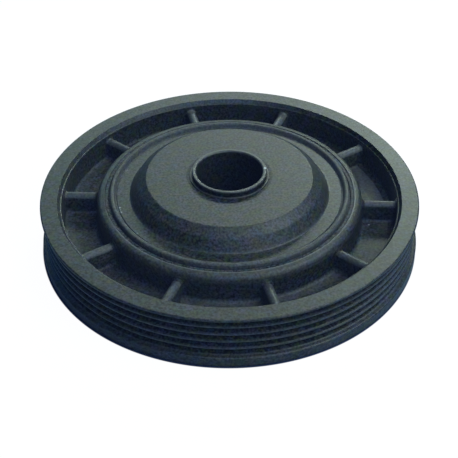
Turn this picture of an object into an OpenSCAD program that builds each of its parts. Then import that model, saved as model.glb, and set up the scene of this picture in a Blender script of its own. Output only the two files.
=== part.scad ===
// Crankshaft pulley with a torsional damper.
// The axis is Z, the front side faces up and the back face of the belt rim lies on Z = 0.

/* [Belt grooves] */
// Number of grooves for the ribbed belt
groove_count = 5; // [3:1:8]
// Distance from one groove to the next
groove_pitch = 3.56; // [3.3:0.02:4.2]
// Angle between the two flanks of a groove
groove_angle = 40; // [34:1:44]
// Width of the land that stands between two grooves
land_w = 0.6; // [0.4:0.05:0.9]
// Width of the bottom of a groove
groove_bottom_w = 0.7; // [0.5:0.05:1]
// Diameter over the lands
land_d = 154; // [152:0.5:156]

/* [Belt rim] */
// Height of the front flange above the lands
front_flange_h = 1; // [0.5:0.1:3]
// Width of the front flange, from its face to the first groove
front_flange_w = 0.95; // [0.9:0.05:3]
// Rounding of the front flange's outer edge
front_edge_r = 0.55; // [0.3:0.05:0.85]
// Height of the back flange above the lands
back_flange_h = 1.6; // [1:0.1:4]
// Width of the back flange, from the last groove to the back face
back_flange_w = 4.35; // [3:0.1:8]
// Rounding of the back flange's two outer edges
back_edge_r = 0.7; // [0.3:0.1:1.2]
// Thickness of the rim, from the lands to the inner edge of its flat front face
rim_t = 6; // [5.5:0.1:6.5]
// Width of the bevel inside the front face
bevel_w = 1.1; // [0.8:0.1:1.6]
// Depth of the bevel
bevel_h = 1.5; // [1:0.1:2.2]
// Width of the narrow ledge below the bevel
ledge_w = 0.6; // [0.6:0.1:1]
// Rounding of the ledge's inner edge
ledge_edge_r = 0.5; // [0.2:0.1:0.5]

/* [Web and ribs] */
// Depth of the web below the front face
pocket_depth = 11.8; // [10.5:0.1:13.5]
// Thickness of the web
web_t = 5; // [3:0.1:6]
// Number of ribs
rib_count = 10; // [6:1:14]
// Width of a rib at its fully rounded crest
rib_w = 4; // [3:0.1:5]
// Depth of the crests below the front face
rib_drop = 3.4; // [3:0.1:5]
// Draft of the rib flanks and the cast walls
draft = 3; // [1:0.5:4]
// Fillet at the foot of the ribs and walls
foot_r = 1.4; // [0.6:0.1:1.8]
// Fillet where a rib runs into a wall
end_r = 1.2; // [0.6:0.1:1.6]

/* [Inner ring of the casting] */
// Bore of the inner ring, which holds the rubber
ring_bore_d = 102.5; // [100:0.1:103]
// Bevel at the front end of the bore
ring_bevel = 0.4; // [0.3:0.1:1]
// Height of the inner ring above the front face
ring_rise = 0.3; // [0:0.1:2]
// Wall of the inner ring at its front
ring_t = 3.45; // [3.2:0.05:5]
// Fall of its front face from the bore to the outer edge
ring_fall = 0.5; // [0:0.1:0.8]
// Rounding of the inner ring's front shoulder
ring_shoulder_r = 2; // [0.8:0.1:2.4]
// Distance from the back face of the rim to that of the inner ring
ring_back_inset = 2; // [0.5:0.1:4]

/* [Rubber ring] */
// Thickness of the rubber between hub and casting
rubber_t = 1.75; // [1.6:0.05:2.5]
// Depth of the rubber below the front of the inner ring
rubber_drop = 0.2; // [0.1:0.1:1]
// Distance from the back face of the inner ring to the rubber
rubber_back_inset = 2; // [0.5:0.1:4]
// Width of the step in its front face, beside the hub
rubber_step_w = 0.6; // [0.4:0.1:0.9]
// Depth of that step
rubber_step_h = 0.8; // [0.4:0.1:1.2]
// Hollow of the rubber's back face
rubber_hollow = 0.4; // [0.2:0.05:0.6]
// Width of the flat margins beside the hollow
rubber_margin = 0.3; // [0.2:0.1:0.4]

/* [Hub disc] */
// Thickness of the pressed sheet
sheet_t = 4.2; // [3:0.1:5]
// Height of the hub's flat flange above the front face
flange_rise = 0.3; // [0:0.1:2]
// Diameter of the dome at its foot
dome_d = 82; // [79:0.2:83]
// Width of the steep lower part of the dome's side
side_w = 3.1; // [2.5:0.1:4]
// Height of that part
side_h = 5.1; // [4.4:0.1:5.8]
// Width of the gentler upper part, up to the flat top
shoulder_w = 3.7; // [2.9:0.1:4.9]
// Height of that part
shoulder_h = 2.6; // [1.9:0.1:3.9]
// Rounding of the edge of the flat top
top_bend_r = 1.3; // [0.6:0.1:1.6]
// Rounding between the two parts of the dome's side
side_bend_r = 3; // [1:0.1:3.4]
// Rounding at the foot of the dome
foot_bend_r = 0.9; // [0.4:0.1:1.4]
// Rounding of the bends on the underside
inner_bend_r = 2; // [0.8:0.1:2.2]
// Width of the groove inside the hub's outer lip
lip_groove_w = 0.8; // [0.6:0.1:1.2]
// Depth of that groove
lip_groove_h = 0.7; // [0.4:0.1:0.8]
// Width of the lip
lip_w = 2.3; // [2.2:0.1:2.8]
// Height of the lip above the flange
lip_rise = 1.5; // [1:0.1:2]
// Width of the lip's steep inner side
lip_slope_w = 0.4; // [0.2:0.1:0.7]
// Rounding of the lip's two edges
lip_edge_r = 0.85; // [0.4:0.05:0.95]
// Distance from the back face of the rim to the end of the skirt
skirt_inset = 3; // [1:0.1:5]

/* [Centre sleeve] */
// Bore for the crankshaft's nose
bore_d = 27; // [24:0.1:28]
// Wall of the sleeve's neck
neck_t = 1.75; // [1.4:0.05:2.5]
// Height of the neck above the dome's flat top
neck_rise = 2.5; // [1.5:0.1:6]
// Rounding of the bore's mouth at the top of the neck
mouth_r = 0.8; // [0.4:0.1:1.2]
// Width of the collar swaged out on the dome
collar_w = 1.05; // [1:0.05:2.75]
// Height of the collar
collar_h = 0.4; // [0.3:0.1:1.2]
// Wall of the boss under the disc
boss_t = 6.5; // [5:0.1:9.5]
// Distance from the back face of the rim to that of the boss
boss_inset = 1; // [0.2:0.1:4]
// Bevel at the outer edges of the boss and at the ends of the bore
edge_bevel = 0.5; // [0.3:0.1:0.7]

/* [Edges] */
// Rounding of the fine edges of the casting and the disc
fine_edge_r = 0.2; // [0.1:0.05:0.3]
// Rounding of the edges at the back and of the neck's outer edge
back_round_r = 0.4; // [0.2:0.05:0.5]

/* [Hidden] */
$fn = 180;
// Heights along the axis, counted from the back face of the rim
rim_w = front_flange_w + groove_count * groove_pitch + back_flange_w;
web_top = rim_w - pocket_depth;
web_back = web_top - web_t;
rib_top = rim_w - rib_drop;
crest_z = rib_top - rib_w / 2;
ledge_z = rim_w - bevel_h;
ring_top = rim_w + ring_rise;
flange_z = rim_w + flange_rise;
lip_z = flange_z + lip_rise;
dome_z = flange_z + side_h + shoulder_h;
ring_edge_z = ring_top - ring_fall;
rubber_top = ring_top - rubber_drop;
rubber_back = ring_back_inset + rubber_back_inset;
// Radii that follow from the values above
groove_depth = (groove_pitch - land_w - groove_bottom_w) / 2 / tan(groove_angle / 2);
front_flange_r = land_d / 2 + front_flange_h;
back_flange_r = land_d / 2 + back_flange_h;
face_r = land_d / 2 - rim_t;
wall_r = face_r - bevel_w - ledge_w;
wall_foot_r = wall_r - (ledge_z - web_top) * tan(draft);
wall_back_r = wall_foot_r + web_back * tan(draft);
ring_bore_r = ring_bore_d / 2;
ring_r = ring_bore_r + ring_t;
ring_foot_r = ring_r + (ring_edge_z - web_top) * tan(draft);
ring_back_r = ring_foot_r - (web_back - ring_back_inset) * tan(draft);
hub_r = ring_bore_r - rubber_t;
lip_foot_r = hub_r - lip_w;
skirt_r = hub_r - sheet_t;
dome_r = dome_d / 2;
bore_r = bore_d / 2;
neck_r = bore_r + neck_t;
boss_r = bore_r + boss_t;
boss_top = dome_z - sheet_t;
// Angles of the two stretches of the dome's side
side_slope = atan2(side_h, side_w);
shoulder_slope = atan2(shoulder_h, shoulder_w);
// Depth to which a rib is let into the cast walls and the web
let_in = 0.6;
// Depth to which a fillet starts inside the faces that it joins
sunk = 0.03;
// Fillet at a rib's ends, which stays below the ledge and below the inner ring's shoulder
rib_end_r = min(
    end_r,
    rib_drop - bevel_h - ledge_edge_r,
    ring_edge_z - rib_top - ring_shoulder_r
);
// Largest turn between two points of a rounded corner
step = 15;

function unit(v) = v / norm(v);

// Points of the arc of radius r that rounds corner p between its neighbours a and b
function corner(a, p, b, r) =
    let (
        u = unit(a - p),
        v = unit(b - p),
        half = acos(u * v) / 2,
        c = p + unit(u + v) * r / sin(half),
        s = p + u * r / tan(half) - c,
        e = p + v * r / tan(half) - c,
        from = atan2(s[1], s[0]),
        raw = atan2(e[1], e[0]) - from,
        turn = raw > 180 ? raw - 360 : raw < -180 ? raw + 360 : raw,
        n = ceil(abs(turn) / step)
    )
    [for (i = [0:n]) c + r * [cos(from + turn * i / n), sin(from + turn * i / n)]];

// Outline through points [x, y, radius], each corner rounded where it has a radius
function rounded(p) =
    let (n = len(p), q = [for (k = p) [k[0], k[1]]])
    [for (i = [0:n - 1]) each p[i][2] > 0
        ? corner(q[(i + n - 1) % n], q[i], q[(i + 1) % n], p[i][2])
        : [q[i]]];

// Point one sheet thickness under bend p, between stretches that fall at angles a and b
function under(p, a, b) =
    let (mean = (a + b) / 2)
    p - sheet_t / cos((b - a) / 2) * [sin(mean), cos(mean)];

// One groove's outline, from its front edge to its back edge
function groove(z) = [
    [land_d / 2, z - land_w / 2, 0],
    [land_d / 2 - groove_depth, z - groove_pitch / 2 + groove_bottom_w / 2, fine_edge_r],
    [land_d / 2 - groove_depth, z - groove_pitch / 2 - groove_bottom_w / 2, fine_edge_r],
    [land_d / 2, z - groove_pitch + land_w / 2, 0]
];

// Half section of the casting: the grooved rim, the web and the inner ring
module ring_section() {
    first = rim_w - front_flange_w;
    last = back_flange_w;
    polygon(rounded(concat(
        [
            [face_r, rim_w, fine_edge_r],
            [front_flange_r, rim_w, front_edge_r],
            [front_flange_r, first, 0]
        ],
        [for (i = [0:groove_count - 1]) each groove(first - i * groove_pitch)],
        [
            [back_flange_r, last, back_edge_r],
            [back_flange_r, 0, back_edge_r],
            [wall_back_r, 0, back_round_r],
            [wall_foot_r, web_back, foot_r],
            [ring_foot_r, web_back, foot_r],
            [ring_back_r, ring_back_inset, back_round_r],
            [ring_bore_r, ring_back_inset, 0],
            [ring_bore_r, ring_top - ring_bevel, 0],
            [ring_bore_r + ring_bevel, ring_top, fine_edge_r],
            [ring_r, ring_edge_z, ring_shoulder_r],
            [ring_foot_r, web_top, foot_r],
            [wall_foot_r, web_top, foot_r],
            [wall_r, ledge_z, ledge_edge_r],
            [wall_r + ledge_w, ledge_z, 0]
        ]
    )));
}

// Cross section of a rib: drafted flanks under a round crest, with a fillet at each foot
module rib_section() {
    r = rib_w / 2;
    foot = r / cos(draft) + (crest_z - web_top) * tan(draft);
    x = foot - foot_r * tan(draft) + foot_r - sunk;
    translate([0, crest_z])
        circle(r);
    polygon([
        [-foot - let_in * tan(draft), web_top - let_in],
        [-r * cos(draft), crest_z + r * sin(draft)],
        [r * cos(draft), crest_z + r * sin(draft)],
        [foot + let_in * tan(draft), web_top - let_in]
    ]);
    difference() {
        translate([-x, web_top - let_in])
            square([2 * x, let_in + foot_r - sunk]);
        for (m = [-1, 1])
            translate([m * x, web_top + foot_r - sunk])
                circle(foot_r);
    }
}

// Outline of the flare where a rib runs into a wall along the X axis: w is half the rib's width
module flare(w) {
    difference() {
        translate([0, -let_in])
            square([w + rib_end_r, let_in + rib_end_r]);
        translate([w + rib_end_r, rib_end_r])
            circle(rib_end_r);
    }
}

// Fillets at one end of a rib: upright ones beside its flanks, and a round one about its crest.
// The wall is at radius r, and the rib leaves it in the direction turn.
module rib_end(r, turn) {
    w = rib_w / 2 - sunk;
    translate([r, 0, 0])
        rotate(turn) {
            translate([0, 0, web_top - let_in])
                linear_extrude(crest_z - web_top + let_in)
                    rotate(-90) {
                        flare(w);
                        mirror([1, 0])
                            flare(w);
                    }
            translate([0, 0, crest_z])
                rotate([0, 90, 0])
                    rotate([0, 0, 90])
                        rotate_extrude(angle = 180)
                            flare(w);
        }
}

module rib() {
    from = ring_r - let_in;
    to = wall_r + let_in;
    translate([from, 0, 0])
        rotate([90, 0, 90])
            linear_extrude(to - from)
                rib_section();
    rib_end(ring_r + (ring_edge_z - crest_z) * tan(draft), 0);
    rib_end(wall_r - (ledge_z - crest_z) * tan(draft), 180);
}

module pulley_ring() {
    color([0.17, 0.18, 0.17])
        union() {
            rotate_extrude()
                ring_section();
            for (i = [0:rib_count - 1])
                rotate(i * 360 / rib_count)
                    rib();
        }
}

module rubber_ring() {
    middle = (hub_r + ring_bore_r) / 2;
    color([0.09, 0.09, 0.09])
        rotate_extrude()
            polygon(rounded([
                [hub_r, rubber_back, 0],
                [hub_r + rubber_margin, rubber_back, fine_edge_r],
                [middle, rubber_back + rubber_hollow, rubber_t / 4],
                [ring_bore_r - rubber_margin, rubber_back, fine_edge_r],
                [ring_bore_r, rubber_back, 0],
                [ring_bore_r, rubber_top, 0],
                [hub_r + rubber_step_w, rubber_top, fine_edge_r],
                [hub_r + rubber_step_w, rubber_top - rubber_step_h, fine_edge_r],
                [hub_r, rubber_top - rubber_step_h, 0]
            ]));
}

// Half section of the pressed hub: flat top, domed side, flange, lip and skirt
module hub_section() {
    foot = [dome_r, flange_z];
    bend = foot + [-side_w, side_h];
    top = bend + [-shoulder_w, shoulder_h];
    top_in = under(top, 0, shoulder_slope);
    bend_in = under(bend, shoulder_slope, side_slope);
    foot_in = under(foot, side_slope, 0);
    groove_r = lip_foot_r - lip_groove_w;
    polygon(rounded([
        [neck_r, dome_z, 0],
        [top[0], top[1], top_bend_r],
        [bend[0], bend[1], side_bend_r],
        [foot[0], foot[1], foot_bend_r],
        [groove_r, flange_z, fine_edge_r],
        [groove_r + lip_groove_w / 2, flange_z - lip_groove_h, fine_edge_r],
        [lip_foot_r, flange_z, 0],
        [lip_foot_r + lip_slope_w, lip_z, lip_edge_r],
        [hub_r, lip_z, lip_edge_r],
        [hub_r, skirt_inset, back_round_r],
        [skirt_r, skirt_inset, back_round_r],
        [skirt_r, flange_z - sheet_t, inner_bend_r],
        [foot_in[0], foot_in[1], inner_bend_r],
        [bend_in[0], bend_in[1], inner_bend_r],
        [top_in[0], top_in[1], foot_bend_r],
        [neck_r, boss_top, 0]
    ]));
}

module hub_disc() {
    color([0.2, 0.21, 0.2])
        rotate_extrude()
            hub_section();
}

// Half section of the turned sleeve: boss, neck through the disc and collar
module sleeve_section() {
    neck_z = dome_z + neck_rise;
    polygon(rounded([
        [bore_r, boss_inset + edge_bevel, 0],
        [bore_r + edge_bevel, boss_inset, 0],
        [boss_r - edge_bevel, boss_inset, 0],
        [boss_r, boss_inset + edge_bevel, 0],
        [boss_r, boss_top - edge_bevel, 0],
        [boss_r - edge_bevel, boss_top, 0],
        [neck_r, boss_top, 0],
        [neck_r, dome_z, 0],
        [neck_r + collar_w, dome_z, 0],
        [neck_r + collar_w, dome_z + collar_h, fine_edge_r],
        [neck_r, dome_z + collar_h, 0],
        [neck_r, neck_z, back_round_r],
        [bore_r, neck_z, mouth_r]
    ]));
}

module centre_sleeve() {
    color([0.22, 0.23, 0.22])
        rotate_extrude()
            sleeve_section();
}

pulley_ring();
rubber_ring();
hub_disc();
centre_sleeve();
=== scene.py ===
import math

import bpy
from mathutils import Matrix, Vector

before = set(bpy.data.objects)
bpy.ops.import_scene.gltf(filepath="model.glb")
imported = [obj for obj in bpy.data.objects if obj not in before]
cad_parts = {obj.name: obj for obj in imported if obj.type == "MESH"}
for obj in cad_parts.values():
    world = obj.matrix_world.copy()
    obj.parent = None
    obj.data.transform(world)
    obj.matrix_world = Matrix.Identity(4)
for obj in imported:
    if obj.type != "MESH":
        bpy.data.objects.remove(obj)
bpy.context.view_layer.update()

bpy.ops.object.select_all(action="DESELECT")

# Pulley ring: one grey iron casting with the belt grooves turned into its rim, the web, ten ribs
# and the inner ring. It is sprayed satin black all over. The sand's grain shows through the
# paint, which lies dull in the pockets and has more gloss on the turned faces.


def fill_inputs(tree, node, inputs):
    """Set each named or numbered input of a node, or link it where its value is a socket."""
    for label, value in inputs.items():
        if isinstance(value, bpy.types.NodeSocket):
            tree.links.new(value, node.inputs[label])
        else:
            node.inputs[label].default_value = value


def add_node(tree, kind, inputs, **settings):
    """Add a shader node of a kind, with its settings and then its inputs."""
    node = tree.nodes.new("ShaderNode" + kind)
    for setting, value in settings.items():
        setattr(node, setting, value)
    fill_inputs(tree, node, inputs)
    return node


def named_group(name, inputs, outputs):
    """Start a node group from rows of a socket's name, its type and, for some, its value."""
    group = bpy.data.node_groups.new(name, "ShaderNodeTree")
    for way, rows in (("INPUT", inputs), ("OUTPUT", outputs)):
        for label, kind, *value in rows:
            socket = group.interface.new_socket(
                label, in_out=way, socket_type="NodeSocket" + kind
            )
            if value:
                socket.default_value = value[0]
    given = group.nodes.new("NodeGroupInput").outputs
    result = group.nodes.new("NodeGroupOutput")
    return group, given, result


def painted_grain_group():
    """Height of a sprayed surface: a fine grain of the paint over slow waves of the casting."""
    group, given, result = named_group(
        "painted_grain",
        inputs=(
            ("Place", "Vector"),
            ("Grain", "Float"),
            ("Waves", "Float", 60.0),
            ("Wave share", "Float", 0.5),
        ),
        outputs=(("Height", "Float"),),
    )
    grain, waves = (
        add_node(
            group, "TexNoise", {"Vector": given["Place"], "Scale": given[scale], "Detail": detail}
        )
        for scale, detail in (("Grain", 3.0), ("Waves", 2.0))
    )
    blend = add_node(
        group,
        "Mix",
        {"Factor": given["Wave share"], "A": grain.outputs["Fac"], "B": waves.outputs["Fac"]},
    )
    fill_inputs(group, result, {"Height": blend.outputs["Result"]})
    return group


def paint_tone_group():
    """Colour and roughness of the black paint: green patches beside violet ones, some of them
    redder, with slow clouds and a fine grain of lighter and darker specks over them."""
    group, given, result = named_group(
        "paint_tone",
        inputs=(
            ("Place", "Vector"),
            ("Green", "Color"),
            ("Violet", "Color"),
            ("Patch scale", "Float", 300.0),
            ("Cloud scale", "Float", 60.0),
            ("Grain scale", "Float", 1100.0),
            ("Cloud depth", "Float", 0.3),
            ("Grain depth", "Float", 4.4),
            ("Roughness low", "Float"),
            ("Roughness high", "Float"),
        ),
        outputs=(("Colour", "Color"), ("Roughness", "Float")),
    )
    noise_range = {"From Min": 0.3, "From Max": 0.7}
    noise_middle = 0.5
    less_red, more_red = (0.69, 1.04, 1.0, 1.0), (1.31, 0.96, 1.0, 1.0)
    patch, cloud, grain = (
        add_node(
            group, "TexNoise", {"Vector": given["Place"], "Scale": given[scale], "Detail": 1.0}
        )
        for scale in ("Patch scale", "Cloud scale", "Grain scale")
    )
    picked = add_node(group, "MapRange", {"Value": patch.outputs["Fac"], **noise_range})
    patched = add_node(
        group,
        "Mix",
        {"Factor": picked.outputs["Result"], "A": given["Green"], "B": given["Violet"]},
        data_type="RGBA",
    )
    apart = add_node(group, "SeparateColor", {"Color": patch.outputs["Color"]})
    warmth = add_node(group, "MapRange", {"Value": apart.outputs["Green"], **noise_range})
    tint = add_node(
        group,
        "Mix",
        {"Factor": warmth.outputs["Result"], "A": less_red, "B": more_red},
        data_type="RGBA",
    )
    tinted = add_node(
        group,
        "VectorMath",
        {0: patched.outputs["Result"], 1: tint.outputs["Result"]},
        operation="MULTIPLY",
    )
    tone = tinted.outputs["Vector"]
    for noise, depth in ((cloud, "Cloud depth"), (grain, "Grain depth")):
        centred = add_node(
            group, "Math", {0: noise.outputs["Fac"], 1: noise_middle}, operation="SUBTRACT"
        )
        share = add_node(
            group,
            "Math",
            {0: centred.outputs[0], 1: given[depth], 2: 1.0},
            operation="MULTIPLY_ADD",
        )
        scaled = add_node(
            group, "VectorMath", {0: tone, "Scale": share.outputs[0]}, operation="SCALE"
        )
        tone = scaled.outputs["Vector"]
    rough = add_node(
        group,
        "MapRange",
        {
            "Value": cloud.outputs["Fac"],
            "To Min": given["Roughness low"],
            "To Max": given["Roughness high"],
        },
    )
    fill_inputs(group, result, {"Colour": tone, "Roughness": rough.outputs["Result"]})
    return group


def ring_zone_group():
    """Mask of the stretch between two radii and two heights. It starts at a distance from the
    axis toward one side, or goes all round where no side is given."""
    group, given, result = named_group(
        "ring_zone",
        inputs=(
            ("Place", "Vector"),
            ("Inner", "Float"),
            ("Outer", "Float"),
            ("Low", "Float"),
            ("High", "Float"),
            ("Side", "Vector"),
            ("From", "Float", -1.0),
        ),
        outputs=(("Zone", "Float"),),
    )
    side_slope = 60.0  # per metre, so the mask comes in over 17 mm toward its side
    border_slope = 2500.0  # per metre, so each border is 0.4 mm wide, half of it outside
    border_middle = 0.5
    parts = add_node(group, "SeparateXYZ", {"Vector": given["Place"]})
    flat = add_node(group, "CombineXYZ", {"X": parts.outputs["X"], "Y": parts.outputs["Y"]})
    radius = add_node(group, "VectorMath", {0: flat.outputs["Vector"]}, operation="LENGTH")
    toward = add_node(
        group,
        "VectorMath",
        {0: flat.outputs["Vector"], 1: given["Side"]},
        operation="DOT_PRODUCT",
    )
    past = add_node(
        group, "Math", {0: toward.outputs["Value"], 1: given["From"]}, operation="SUBTRACT"
    )
    sided = add_node(
        group, "Math", {0: past.outputs[0], 1: side_slope}, operation="MULTIPLY", use_clamp=True
    )
    mask = sided.outputs[0]
    for value, border, slope in (
        (radius.outputs["Value"], "Inner", border_slope),
        (radius.outputs["Value"], "Outer", -border_slope),
        (parts.outputs["Z"], "Low", border_slope),
        (parts.outputs["Z"], "High", -border_slope),
    ):
        beyond = add_node(group, "Math", {0: value, 1: given[border]}, operation="SUBTRACT")
        inside = add_node(
            group,
            "Math",
            {0: beyond.outputs[0], 1: slope, 2: border_middle},
            operation="MULTIPLY_ADD",
            use_clamp=True,
        )
        both = add_node(group, "Math", {0: mask, 1: inside.outputs[0]}, operation="MULTIPLY")
        mask = both.outputs[0]
    fill_inputs(group, result, {"Zone": mask})
    return group


def painted_light_and_wear_spot_group():
    """Mask of a spot near a point, broken up by a noise: worn paint, painted glints and a painted
    contact shadow all use it.
    """
    group, given, result = named_group(
        "painted_light_and_wear_spot",
        inputs=(
            ("Place", "Vector"),
            ("Centre", "Vector"),
            ("Reach", "Float"),
            ("Scale", "Float"),
            ("Cover", "Float"),
        ),
        outputs=(("Mark", "Float"),),
    )
    edge_slope = 4000.0  # per metre, so the mask fades out over 0.25 mm
    flake_sharpness = 14.0
    away = add_node(
        group, "VectorMath", {0: given["Place"], 1: given["Centre"]}, operation="DISTANCE"
    )
    near = add_node(
        group, "Math", {0: given["Reach"], 1: away.outputs["Value"]}, operation="SUBTRACT"
    )
    inside = add_node(
        group, "Math", {0: near.outputs[0], 1: edge_slope}, operation="MULTIPLY", use_clamp=True
    )
    flakes = add_node(
        group, "TexNoise", {"Vector": given["Place"], "Scale": given["Scale"], "Detail": 1.0}
    )
    flaked = add_node(
        group, "Math", {0: flakes.outputs["Fac"], 1: given["Cover"]}, operation="SUBTRACT"
    )
    sharp = add_node(
        group,
        "Math",
        {0: flaked.outputs[0], 1: flake_sharpness},
        operation="MULTIPLY",
        use_clamp=True,
    )
    both = add_node(
        group, "Math", {0: inside.outputs[0], 1: sharp.outputs[0]}, operation="MULTIPLY"
    )
    fill_inputs(group, result, {"Mark": both.outputs[0]})
    return group


painted_grain = painted_grain_group()
paint_tone = paint_tone_group()
ring_zone = ring_zone_group()
painted_light_and_wear_spot = painted_light_and_wear_spot_group()


def painted(name, green, violet, roughness, grain, depth, coat, zones=(), marks=()):
    """Satin black paint in two tones, over a grain with a scale and a depth in metres.

    A zone is a stretch of the piece, as inner and outer radius and lowest and highest point in
    metres, then the grey that it adds to the paint's tone, lighter for painted light and darker
    for painted shade, and its coat. A direction and a distance from the axis keep a zone to one
    side, where light or shade falls on that side. A later zone covers an earlier one. A mark is a
    spot of added grey, for chipped paint that shows the metal and for a painted glint: its
    centre and reach in metres, the scale and cover of its flakes, and the grey that it adds.
    """
    material = bpy.data.materials.new(name)
    material.use_nodes = True
    tree = material.node_tree
    place = add_node(tree, "TexCoord", {}).outputs["Object"]
    tone = add_node(
        tree,
        "Group",
        {
            "Place": place,
            "Green": (*green, 1.0),
            "Violet": (*violet, 1.0),
            "Roughness low": roughness[0],
            "Roughness high": roughness[1],
        },
        node_tree=paint_tone,
    )
    surface = add_node(tree, "Group", {"Place": place, "Grain": grain}, node_tree=painted_grain)
    bump = add_node(
        tree, "Bump", {"Strength": 1.0, "Distance": depth, "Height": surface.outputs["Height"]}
    )
    colour, grey, gloss_coat = tone.outputs["Colour"], 0.0, coat
    for (inner, outer, low, high), zone_grey, zone_coat, *side in zones:
        zone = add_node(
            tree,
            "Group",
            {"Place": place, "Inner": inner, "Outer": outer, "Low": low, "High": high},
            node_tree=ring_zone,
        )
        if side:
            fill_inputs(tree, zone, {"Side": side[0], "From": side[1]})
        grey, gloss_coat = (
            add_node(
                tree, "Mix", {"Factor": zone.outputs["Zone"], "A": before, "B": own}
            ).outputs["Result"]
            for before, own in ((grey, zone_grey), (gloss_coat, zone_coat))
        )
    for centre, reach, scale, cover, mark_grey in marks:
        mark = add_node(
            tree,
            "Group",
            {"Place": place, "Centre": centre, "Reach": reach, "Scale": scale, "Cover": cover},
            node_tree=painted_light_and_wear_spot,
        )
        grey = add_node(
            tree,
            "Math",
            {0: mark.outputs["Mark"], 1: mark_grey, 2: grey},
            operation="MULTIPLY_ADD",
        ).outputs[0]
    if zones:
        colour = add_node(tree, "VectorMath", {0: colour, 1: grey}, operation="ADD").outputs[0]
    fill_inputs(
        tree,
        tree.nodes["Principled BSDF"],
        {
            "Base Color": colour,
            "Roughness": tone.outputs["Roughness"],
            "IOR": 1.35,
            "Coat Weight": gloss_coat,
            "Coat Roughness": 0.42,
            "Normal": bump.outputs["Normal"],
            # Painted light: a faint blue glow of the paint stands in for blue fill light in the
            # darks.
            "Emission Color": (0.0022, 0.0036, 0.0095, 1.0),
            "Emission Strength": 1.0,
        },
    )
    return material


def finish_piece(node, paint):
    """Give a CAD node its paint in place of its plain material."""
    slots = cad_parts[node].data.materials
    slots.clear()
    slots.append(paint)


# The casting's own stretches, each as inner radius, outer radius, lowest and highest point.
inner_ring = (0.0510, 0.0552, 0.0200, 0.0250)
inner_ring_edge = (0.0511, 0.0521, 0.0226, 0.0240)
inner_ring_wall = (0.0545, 0.0558, 0.0118, 0.0200)
rim_bevel = (0.0694, 0.0710, 0.0214, 0.0229)
pockets = (0.0549, 0.0692, 0.0050, 0.0206)
pocket_floors = (0.0560, 0.0692, 0.0100, 0.0120)
pocket_fillets = (0.0552, 0.0590, 0.0100, 0.0128)
floor_middle = (0.0598, 0.0662, 0.0100, 0.0120)
floor_outside = (0.0640, 0.0690, 0.0100, 0.0120)
floor_corner = (0.0648, 0.0692, 0.0100, 0.0120)
rib_crests = (0.0562, 0.0688, 0.0182, 0.0206)
belt_grooves = (0.0725, 0.0765, 0.0040, 0.0222)
belt_lands = (0.0765, 0.0772, 0.0040, 0.0222)

# Its sides, of which the front is where the camera stands. The last three are single pockets.
left, right = (-1.0, 0.0, 0.0), (1.0, 0.0, 0.0)
front, front_fillets, front_right = (0.3, -1.0, 0.0), (0.3, -0.954, 0.0), (0.4, -0.9, 0.0)
right_to_front, right_to_back, back = (1.0, -0.2, 0.0), (1.0, 0.2, 0.0), (0.3, 1.0, 0.0)
right_pocket = (0.959, 0.284, 0.0)
back_left_pocket = (-0.950, 0.312, 0.0)
front_left_pocket = (-0.928, -0.372, 0.0)

casting_paint = painted(
    "casting_paint",
    green=(0.034, 0.041, 0.014),
    violet=(0.033, 0.035, 0.062),
    roughness=(0.42, 0.50),
    grain=1000.0,
    depth=0.000065,
    coat=0.75,
    zones=(
        # Painted light and painted shade: each zone below makes a stretch of the casting lighter
        # where light falls on it or darker where shade lies, some of them on one side only.
        (inner_ring, 0.014, 0.45),
        # Painted light on the inner ring toward the front right, and painted shade on it at the
        # right.
        (inner_ring, 0.030, 0.45, front_right, 0.02),
        (inner_ring, 0.004, 0.30, right_to_back, 0.03),
        # Painted shade on the rim's bevel at the right, and painted light on it at the left.
        (rim_bevel, -0.016, 0.0, right_to_front, 0.03),
        (rim_bevel, 0.010, 0.75, left, 0.01),
        # Painted light in the pockets, and painted shade on the inner ring's outer wall at the
        # right.
        (pockets, 0.008, 0.0),
        (inner_ring_wall, -0.010, 0.0, right, 0.02),
        # Painted light on the pocket floors and their fillets at the front, and pools of painted
        # light on the floors of three single pockets.
        (pocket_floors, 0.022, 0.0, front, 0.02),
        (pocket_fillets, 0.045, 0.0, front_fillets, 0.035),
        (floor_middle, 0.190, 0.0, right_pocket, 0.0570),
        (floor_outside, 0.100, 0.0, back_left_pocket, 0.0610),
        (floor_corner, 0.120, 0.0, front_left_pocket, 0.0610),
        # Painted highlight along the edge of the inner ring's bore at the front.
        (inner_ring_edge, 0.100, 0.9, front, 0.0),
        # Painted light on the rib crests, stronger at the back.
        (rib_crests, 0.060, 0.3),
        (rib_crests, 0.082, 0.3, back, 0.03),
        # Painted shade in the belt grooves, and a painted highlight on the lands between them.
        (belt_grooves, -0.014, 0.3),
        (belt_lands, 0.016, 0.9),
    ),
    # Painted glint at the foot of the rib at the right.
    marks=(((0.0582, -0.0050, 0.0113), 0.0005, 500.0, 0.0, 0.25),),
)
finish_piece("pulley_ring", casting_paint)

# Rubber ring: the damper's rubber, pressed in between the casting and the hub disc. Spray has
# reached its free faces, so it looks as black as the metal, only duller.

rubber_paint = painted(
    "rubber_under_paint",
    green=(0.068, 0.076, 0.050),
    violet=(0.066, 0.070, 0.100),
    roughness=(0.50, 0.60),
    grain=500.0,
    depth=0.00003,
    coat=0.0,
)
finish_piece("rubber_ring", rubber_paint)

# Hub disc: pressed from thick steel sheet, with a dome, a flat flange, a lip and a skirt. The
# rolled sheet is smoother than the casting under the same satin black paint. The marks are
# chips in the paint beside the lip, at the left.

dome_shoulder = (0.0342, 0.0380, 0.0250, 0.0312)
dome_foot = (0.0405, 0.0418, 0.0234, 0.0247)
flange = (0.0412, 0.0455, 0.0225, 0.0238)
lip_and_skirt = (0.0462, 0.0600, 0.0100, 0.0300)
lip_groove = (0.0463, 0.0476, 0.0222, 0.0248)
collar_seat = (0.0163, 0.0176, 0.0300, 0.0313)
collar_shadow = (0.0163, 0.0188, 0.0300, 0.0313)
front_shoulder, front_flange = (0.15, -1.0, 0.0), (-0.1, -1.0, 0.0)
front_collar = (0.0, -1.0, 0.0)

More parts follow.
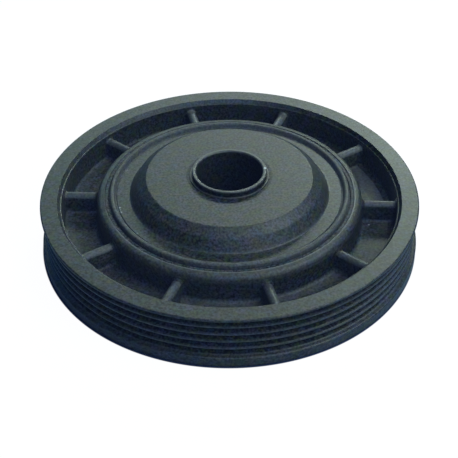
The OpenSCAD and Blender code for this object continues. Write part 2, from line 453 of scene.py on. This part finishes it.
disc_paint = painted(
    "disc_paint",
    green=(0.040, 0.047, 0.018),
    violet=(0.039, 0.041, 0.068),
    roughness=(0.42, 0.48),
    grain=1000.0,
    depth=0.000055,
    coat=0.6,
    zones=(
        # Painted light on the dome's shoulder, more at the front.
        (dome_shoulder, 0.008, 0.5),
        (dome_shoulder, 0.017, 0.5, front_shoulder, 0.022),
        # Painted shadow of the dome on the flange at the front.
        (flange, -0.010, 0.2, front_flange, 0.036),
        # Painted light on the lip, the skirt and the groove inside the lip.
        (lip_and_skirt, 0.055, 0.1),
        (lip_groove, 0.075, 0.1),
        # Painted shade in the corner round the sleeve's collar, and a painted shadow of the
        # sleeve in front of it.
        (collar_seat, -0.010, 0.2),
        (collar_shadow, -0.016, 0.1, front_collar, 0.008),
        # Painted highlight along the foot of the dome.
        (dome_foot, 0.020, 0.8),
    ),
    marks=(
        ((-0.0443, 0.0118, 0.0234), 0.0008, 1500.0, 0.42, 0.16),
        ((-0.0439, -0.0140, 0.0234), 0.0006, 900.0, 0.1, 0.30),
        ((-0.0435, -0.0154, 0.0234), 0.0005, 900.0, 0.1, 0.16),
        ((-0.0429, -0.0170, 0.0234), 0.0006, 900.0, 0.1, 0.30),
        ((-0.0348, -0.0302, 0.0234), 0.0006, 900.0, 0.1, 0.12),
    ),
)
finish_piece("hub_disc", disc_paint)

# Centre sleeve: turned steel, pressed through the disc and swaged out over it. The paint on its
# lip is glossier and painted lighter as a highlight, with a painted glint at the right, and the
# bore is dull and dark.

bore = (0.0, 0.0138, 0.0, 0.0328)
neck = (0.0145, 0.0158, 0.0314, 0.0329)
sleeve_lip = (0.0, 0.0158, 0.0332, 0.0340)
collar = (0.0158, 0.0165, 0.0313, 0.0317)

sleeve_paint = painted(
    "sleeve_paint",
    green=(0.026, 0.031, 0.012),
    violet=(0.025, 0.027, 0.046),
    roughness=(0.40, 0.46),
    grain=900.0,
    depth=0.000015,
    coat=0.9,
    zones=(
        (bore, 0.0, 0.15),
        # Painted shade on the neck below the lip.
        (neck, -0.016, 0.0),
        # Painted highlight on the lip and along the top edge of the collar.
        (sleeve_lip, 0.045, 1.0),
        (collar, 0.030, 1.0),
    ),
    # Painted glint on the lip at the right.
    marks=(((0.0146, 0.0022, 0.0334), 0.0008, 500.0, 0.0, 0.6),),
)
finish_piece("centre_sleeve", sleeve_paint)

# Floor: plain and pale. The camera sees it white, with a faint shadow of the pulley in it and
# a painted dark line of shadow where the back face stands on it.

floor_size = 8.0
floor_grey = (0.32, 0.43, 0.56, 1.0)
contact_shadow_grey = (0.05, 0.07, 0.14, 1.0)
contact_centre, contact_radius = (-0.0002, -0.00045, 0.0), 0.0789
glow_strength, glow_share = 1.22, 0.8  # the rest of what the camera sees is the lit floor

bpy.ops.mesh.primitive_plane_add(size=floor_size, location=(0.0, 0.0, 0.0))
floor = bpy.context.object
floor.name = "floor"
floor_white = bpy.data.materials.new("floor_white")
floor_white.use_nodes = True
floor_tree = floor_white.node_tree
floor_tree.nodes.clear()
floor_ray = add_node(floor_tree, "LightPath", {})
floor_share = add_node(
    floor_tree,
    "Math",
    {0: floor_ray.outputs["Is Camera Ray"], 1: glow_share},
    operation="MULTIPLY",
)
floor_lit = add_node(floor_tree, "BsdfDiffuse", {"Color": floor_grey})
floor_glow = add_node(floor_tree, "Emission", {"Strength": glow_strength})
floor_mix = add_node(
    floor_tree,
    "MixShader",
    {0: floor_share.outputs[0], 1: floor_lit.outputs[0], 2: floor_glow.outputs[0]},
)
floor_place = add_node(floor_tree, "TexCoord", {})
contact = add_node(
    floor_tree,
    "Group",
    {
        "Place": floor_place.outputs["Object"],
        "Centre": contact_centre,
        "Reach": contact_radius,
        "Scale": 500.0,
        "Cover": 0.0,
    },
    node_tree=painted_light_and_wear_spot,
)
# Painted shadow: a dark floor colour in a thin ring just round the back face.
floor_painted_shadow = add_node(floor_tree, "BsdfDiffuse", {"Color": contact_shadow_grey})
floor_near = add_node(
    floor_tree,
    "MixShader",
    {0: contact.outputs["Mark"], 1: floor_mix.outputs[0], 2: floor_painted_shadow.outputs[0]},
)
add_node(floor_tree, "OutputMaterial", {"Surface": floor_near.outputs[0]})
floor.data.materials.append(floor_white)

# Camera: above and in front of the pulley, at the photograph's angle.

camera_data = bpy.data.cameras.new("camera")
camera_data.sensor_width = 36.0
camera_data.lens = 86.463
camera_data.clip_start = 0.01
camera_data.shift_y = -0.0011
camera = bpy.data.objects.new("camera", camera_data)
camera.location = (0.019508, -0.364680, 0.296415)
camera.rotation_euler = (math.radians(51.2216), math.radians(0.17144), math.radians(2.96227))
bpy.context.scene.collection.objects.link(camera)
bpy.context.scene.camera = camera

# Light: soft panels of a studio, each at its own bearing and height, round the pulley. The
# world is white to the camera alone and lights nothing.


def panel(name, bearing, height, spread, strength, colour):
    """A round lamp two metres away. Bearing, height and spread, the angle that the lamp fills,
    are in degrees, and strength is the light that falls on a face turned to it."""
    away = 2.0
    lamp = bpy.data.lights.new(name, "AREA")
    lamp.shape = "DISK"
    lamp.size = 2.0 * away * math.tan(math.radians(spread / 2.0))
    lamp.energy = strength * math.pi * away**2
    lamp.color = colour
    b, h = math.radians(bearing), math.radians(height)
    direction = Vector((math.cos(b) * math.cos(h), math.sin(b) * math.cos(h), math.sin(h)))
    holder = bpy.data.objects.new(name, lamp)
    holder.location = direction * away
    holder.rotation_euler = direction.to_track_quat("Z", "Y").to_euler()
    bpy.context.scene.collection.objects.link(holder)


panel("key", 77.5, 30.5, 8.0, 0.536, (0.81, 1.00, 0.86))
panel("key_side", 92.0, 31.0, 8.0, 0.132, (0.93, 1.00, 0.99))
panel("back", 106.0, 25.0, 22.0, 0.250, (0.70, 1.00, 0.88))
panel("back_left", 134.0, 33.0, 30.0, 0.106, (0.03, 0.35, 1.00))
panel("back_right", 48.0, 60.0, 22.0, 0.151, (0.61, 1.00, 0.43))
panel("right_back", 33.0, 42.0, 22.0, 0.175, (0.20, 0.34, 1.00))
panel("right", 3.0, 38.0, 26.0, 0.240, (0.53, 0.71, 1.00))
panel("right_high", 3.0, 60.0, 22.0, 0.490, (0.77, 0.98, 0.90))
panel("top", 3.0, 80.0, 22.0, 0.291, (1.00, 0.95, 0.96))
panel("right_front", 333.0, 42.0, 22.0, 0.390, (0.82, 1.00, 0.87))
panel("right_low", 333.0, 8.0, 22.0, 0.208, (0.24, 0.59, 1.00))
panel("front_right_low", 303.0, 8.0, 22.0, 0.343, (1.00, 1.00, 0.70))
panel("front_right", 303.0, 42.0, 22.0, 0.163, (0.28, 0.54, 1.00))
panel("front", 273.0, 42.0, 22.0, 0.459, (0.32, 0.60, 1.00))
panel("front_high", 273.0, 65.0, 30.0, 0.189, (0.29, 0.40, 1.00))

world = bpy.data.worlds.new("studio")
bpy.context.scene.world = world
world.use_nodes = True
world_tree = world.node_tree
world_tree.nodes.clear()
world_ray = add_node(world_tree, "LightPath", {})
world_white = add_node(
    world_tree,
    "Background",
    {"Color": (1.0, 1.0, 1.0, 1.0), "Strength": world_ray.outputs["Is Camera Ray"]},
)
add_node(world_tree, "OutputWorld", {"Surface": world_white.outputs[0]})

bpy.context.scene.view_settings.view_transform = "Standard"
